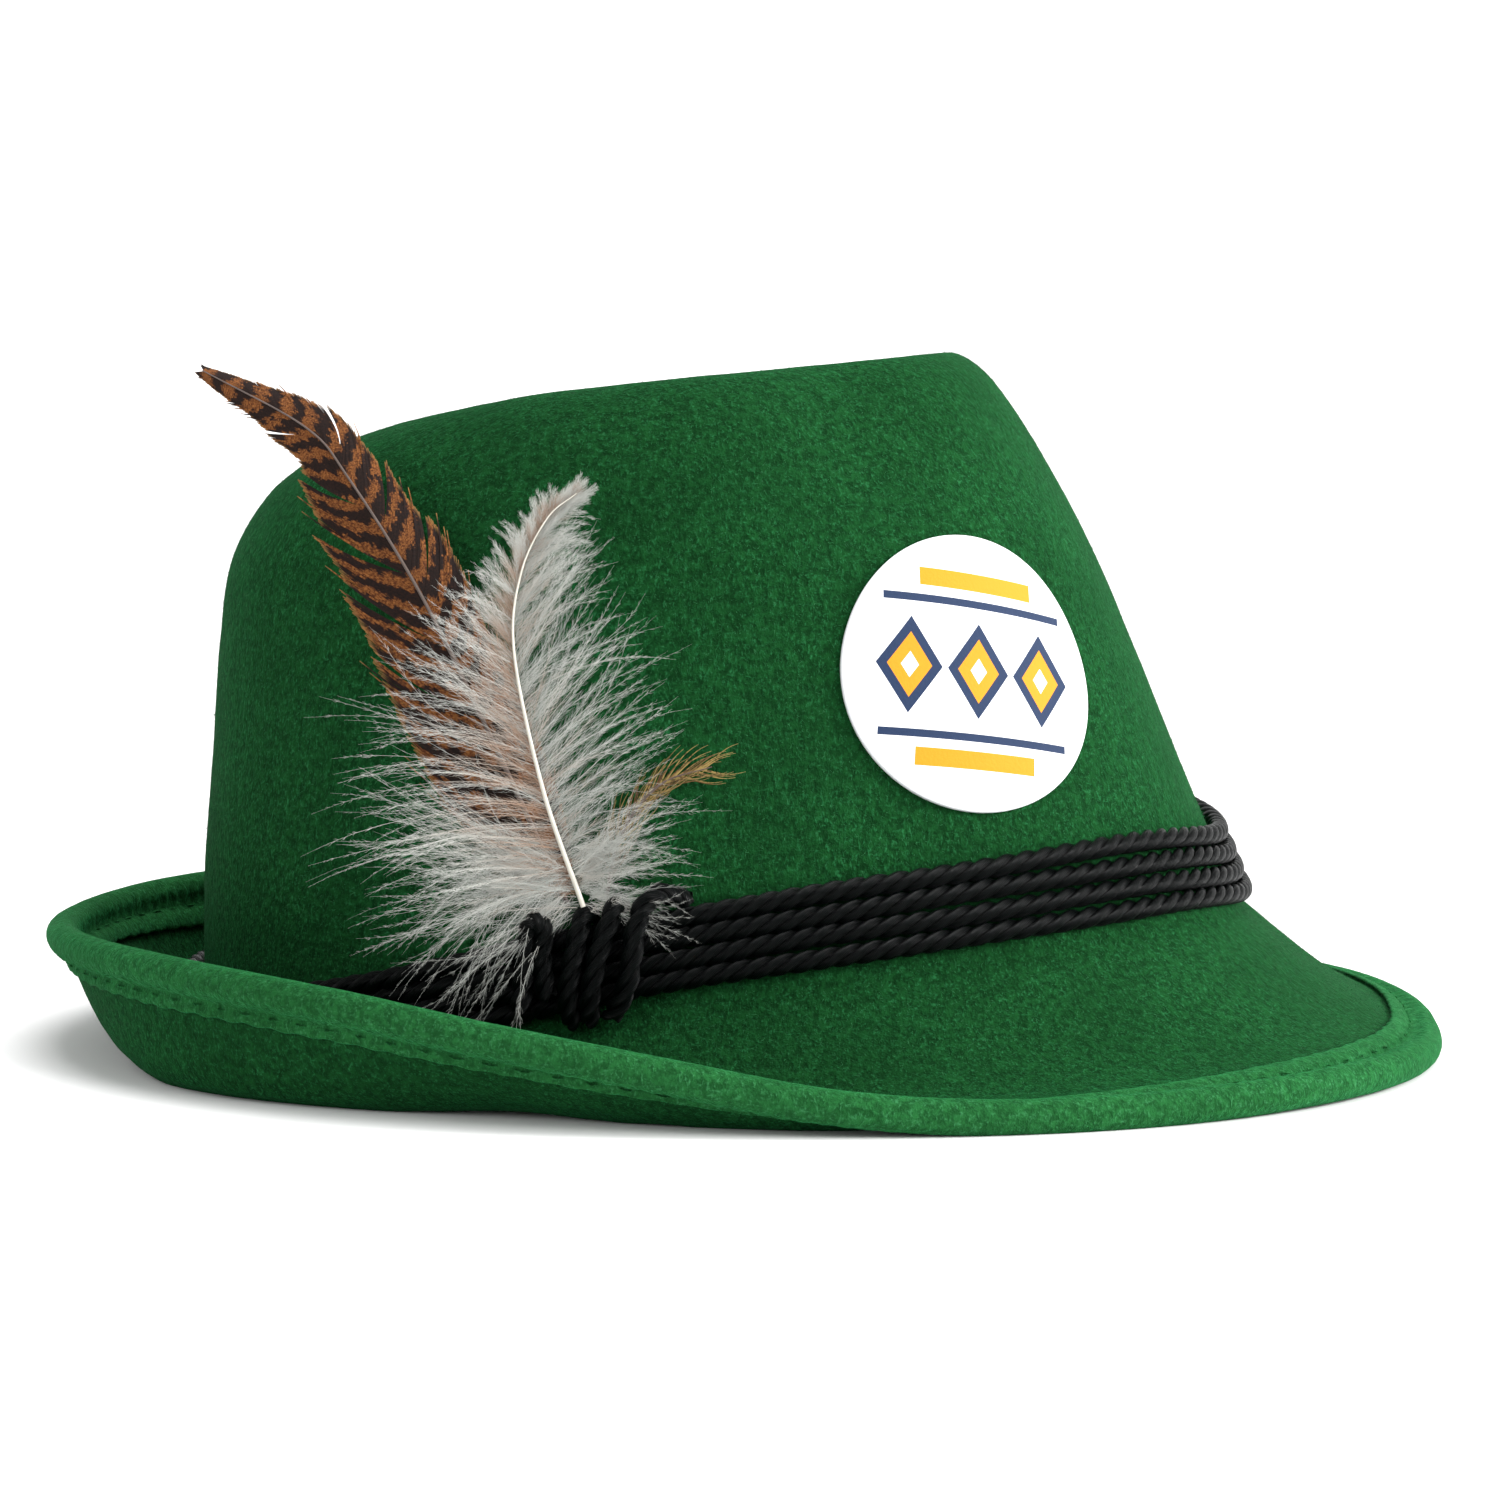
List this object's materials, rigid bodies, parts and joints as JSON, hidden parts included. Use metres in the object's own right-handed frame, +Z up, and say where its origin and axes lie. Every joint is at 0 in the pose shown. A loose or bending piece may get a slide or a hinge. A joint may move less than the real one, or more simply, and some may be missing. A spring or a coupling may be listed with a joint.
{
  "type": "tyrolean hat",
  "caption": "Blocked felt hat with a creased crown, a brim snapped down in front and up behind, twisted cord round the crown, feathers and a round patch.",
  "frame": {"origin": "bottom centre of the hat's box, on the surface that it rests on", "axes": "+Z up, +X towards the front of the hat, -Y the wearer's right, where the feathers are"},
  "size_m": [0.277, 0.2382, 0.137],
  "materials": {
    "green_felt": "short-napped wool felt",
    "binding_felt": "rolled and stitched wool felt",
    "black_cord": "satin twisted cord",
    "barred_vane": "feather with dark bars",
    "white_down": "soft down",
    "golden_vane": "feather",
    "white_patch": "smooth printed felt"
  },
  "bodies": {
    "root": {"felt_body": "green_felt", "brim_binding": "binding_felt", "cord_turn_1": "black_cord", "cord_turn_2": "black_cord", "cord_turn_3": "black_cord", "cord_turn_4": "black_cord", "cord_wrap_1": "black_cord", "cord_wrap_2": "black_cord", "cord_wrap_3": "black_cord", "cord_end": "black_cord", "feather_barred": "barred_vane", "feather_plume": "white_down", "feather_hackle": "golden_vane", "round_patch": "white_patch"}
  },
  "joints": []
}
